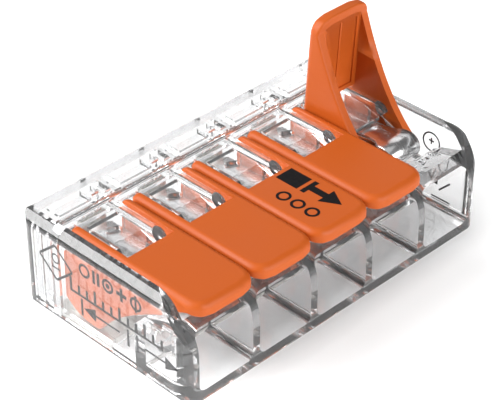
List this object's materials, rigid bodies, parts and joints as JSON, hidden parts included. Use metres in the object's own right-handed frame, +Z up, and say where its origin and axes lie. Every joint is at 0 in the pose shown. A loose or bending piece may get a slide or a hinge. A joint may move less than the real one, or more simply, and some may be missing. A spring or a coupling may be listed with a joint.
{
  "type": "lever wire connector",
  "caption": "Clear splicing connector for round wires, with a row of folding orange levers that open spring clamps over a shared current bar",
  "frame": {"origin": "middle of the casing's flat bottom face", "axes": "+X along the row of poles, -Y towards the wire entries, +Z up away from the flat bottom, towards the levers"},
  "size_m": [0.0298, 0.0168, 0.0155],
  "materials": {
    "clear_shell": "clear polished polycarbonate",
    "clear_cover": "clear polished polycarbonate",
    "lever_plastic": "satin orange polyamide",
    "spring_steel": "bright rolled strip",
    "tinned_copper": "tin plated, dull silver"
  },
  "bodies": {
    "casing": {"housing": "clear_shell", "rear_cover": "clear_cover", "current_bar": "tinned_copper", "spring_1": "spring_steel", "spring_2": "spring_steel", "spring_3": "spring_steel", "spring_4": "spring_steel", "spring_5": "spring_steel"},
    "lever_1": {"lever_1": "lever_plastic"},
    "clamp_leg_1": {"clamp_leg_1": "spring_steel"},
    "lever_2": {"lever_2": "lever_plastic"},
    "clamp_leg_2": {"clamp_leg_2": "spring_steel"},
    "lever_3": {"lever_3": "lever_plastic"},
    "clamp_leg_3": {"clamp_leg_3": "spring_steel"},
    "lever_4": {"lever_4": "lever_plastic"},
    "clamp_leg_4": {"clamp_leg_4": "spring_steel"},
    "lever_5": {"lever_5": "lever_plastic"},
    "clamp_leg_5": {"clamp_leg_5": "spring_steel"}
  },
  "joints": [
    {"name": "lever_1_hinge", "type": "hinge", "parent": "casing", "child": "lever_1", "pos_m": [-0.0112, 0.00138, 0.00537], "axis": [-1, 0, 0], "range_deg": [0, 86]},
    {"name": "clamp_leg_1_bend", "type": "hinge", "parent": "casing", "child": "clamp_leg_1", "pos_m": [-0.0112, -0.0032, 0.0058], "axis": [1, 0, 0], "range_deg": [0, 29.26]},
    {"name": "lever_2_hinge", "type": "hinge", "parent": "casing", "child": "lever_2", "pos_m": [-0.0056, 0.00138, 0.00537], "axis": [-1, 0, 0], "range_deg": [0, 86]},
    {"name": "clamp_leg_2_bend", "type": "hinge", "parent": "casing", "child": "clamp_leg_2", "pos_m": [-0.0056, -0.0032, 0.0058], "axis": [1, 0, 0], "range_deg": [0, 29.26]},
    {"name": "lever_3_hinge", "type": "hinge", "parent": "casing", "child": "lever_3", "pos_m": [0, 0.00138, 0.00537], "axis": [-1, 0, 0], "range_deg": [0, 86]},
    {"name": "clamp_leg_3_bend", "type": "hinge", "parent": "casing", "child": "clamp_leg_3", "pos_m": [0, -0.0032, 0.0058], "axis": [1, 0, 0], "range_deg": [0, 29.26]},
    {"name": "lever_4_hinge", "type": "hinge", "parent": "casing", "child": "lever_4", "pos_m": [0.0056, 0.00138, 0.00537], "axis": [-1, 0, 0], "range_deg": [0, 86]},
    {"name": "clamp_leg_4_bend", "type": "hinge", "parent": "casing", "child": "clamp_leg_4", "pos_m": [0.0056, -0.0032, 0.0058], "axis": [1, 0, 0], "range_deg": [0, 29.26]},
    {"name": "lever_5_hinge", "type": "hinge", "parent": "casing", "child": "lever_5", "pos_m": [0.0112, 0.00138, 0.00537], "axis": [-1, 0, 0], "range_deg": [-86, 0]},
    {"name": "clamp_leg_5_bend", "type": "hinge", "parent": "casing", "child": "clamp_leg_5", "pos_m": [0.0112, -0.0032, 0.0058], "axis": [1, 0, 0], "range_deg": [-29.26, 0]}
  ],
  "couplings": [
    {"joint": "clamp_leg_1_bend", "follows": "lever_1_hinge", "ratio": 0.34},
    {"joint": "clamp_leg_2_bend", "follows": "lever_2_hinge", "ratio": 0.34},
    {"joint": "clamp_leg_3_bend", "follows": "lever_3_hinge", "ratio": 0.34},
    {"joint": "clamp_leg_4_bend", "follows": "lever_4_hinge", "ratio": 0.34},
    {"joint": "clamp_leg_5_bend", "follows": "lever_5_hinge", "ratio": 0.34}
  ]
}
